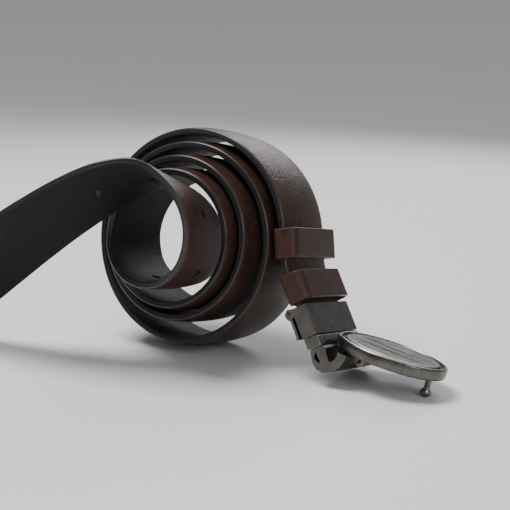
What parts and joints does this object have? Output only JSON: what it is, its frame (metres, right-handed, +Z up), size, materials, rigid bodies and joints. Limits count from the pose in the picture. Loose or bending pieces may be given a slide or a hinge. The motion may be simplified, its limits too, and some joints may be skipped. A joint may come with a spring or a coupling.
{
  "type": "dress belt",
  "caption": "Coiled dark brown leather dress belt with two leather keepers and a brushed metal clamp buckle that swivels and carries an oval plate.",
  "frame": {"origin": "centre of the bounding box, at floor level", "axes": "+Z up, the coil's axis along Y with its open front towards -Y, the buckle towards +X and the free tail towards -X"},
  "size_m": [0.2462, 0.1067, 0.0976],
  "materials": {
    "face_leather": "smooth satin",
    "lining_leather": "matte",
    "filler": "bonded fibre",
    "keeper_leather": "smooth satin",
    "buckle_metal": "brushed gunmetal plating",
    "pin_steel": "turned steel"
  },
  "bodies": {
    "strap": {"strap_face": "face_leather", "strap_filler": "filler", "strap_lining": "lining_leather", "keeper_fixed": "keeper_leather", "clamp_box": "buckle_metal", "lever_pin": "pin_steel", "swivel_post": "pin_steel"},
    "keeper": {"keeper_sliding": "keeper_leather"},
    "lever": {"clamp_lever": "buckle_metal"},
    "carriage": {"spring_washer": "pin_steel", "swivel_spring": "pin_steel"},
    "neck": {"neck_collar": "buckle_metal", "gooseneck": "buckle_metal", "neck_dowel_left": "pin_steel", "neck_dowel_right": "pin_steel", "plate_pin": "pin_steel"},
    "plate": {"plate_body": "buckle_metal", "plate_field": "buckle_metal", "stud": "pin_steel"}
  },
  "joints": [
    {"name": "keeper_slide", "type": "slide", "parent": "strap", "child": "keeper", "axis": [-0.2022, 0.1545, 0.9671], "range_m": [-0.002, 0.0015]},
    {"name": "lever_open", "type": "hinge", "parent": "strap", "child": "lever", "pos_m": [0.06115, 0.02448, 0.02462], "axis": [0.0074, 0.9877, -0.1563], "range_deg": [0, 65]},
    {"name": "neck_pull", "type": "slide", "parent": "strap", "child": "carriage", "axis": [0.525, -0.1368, -0.8401], "range_m": [0, 0.002], "stiffness_N_per_m": 2000, "springref_m": -0.002, "deforming": ["swivel_spring"]},
    {"name": "neck_swivel", "type": "hinge", "parent": "carriage", "child": "neck", "pos_m": [0.06475, 0.025, 0.02809], "axis": [0.525, -0.1368, -0.8401], "range_deg": [0, 180]},
    {"name": "plate_tilt", "type": "hinge", "parent": "neck", "child": "plate", "pos_m": [0.09118, 0.02192, 0.00987], "axis": [0.0074, 0.9877, -0.1563], "range_deg": [0, 40]}
  ]
}
